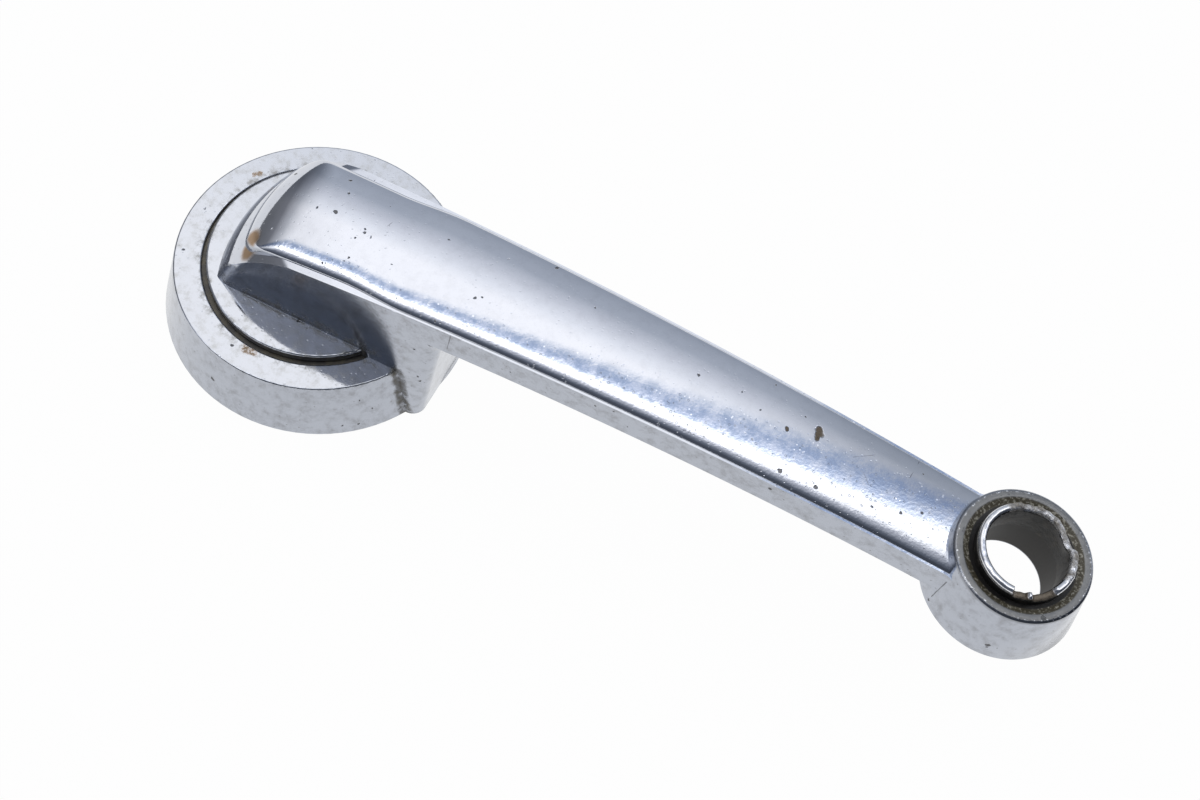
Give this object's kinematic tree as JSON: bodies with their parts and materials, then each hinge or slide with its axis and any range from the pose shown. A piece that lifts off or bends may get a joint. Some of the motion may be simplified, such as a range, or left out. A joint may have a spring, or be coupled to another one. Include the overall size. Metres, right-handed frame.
{
  "type": "crank handle",
  "caption": "Window winder crank: stepped round hub, arched arm with a crowned top and a tapered eye holding a torn knob sleeve; the knob is missing.",
  "frame": {"origin": "where the spindle axis meets the back face of the hub", "axes": "+X along the arm from the spindle to the knob eye, +Z along the spindle axis away from the door, +Y to the side of the arm"},
  "size_m": [0.1339, 0.0438, 0.0272],
  "materials": {
    "chrome_plating": "worn bright chrome with pits, rust specks and dirt in the grooves",
    "sleeve_steel": "bright rim gone brown and rusty in places, dark bore"
  },
  "bodies": {
    "root": {"crank_casting": "chrome_plating", "knob_sleeve": "sleeve_steel"}
  },
  "joints": []
}
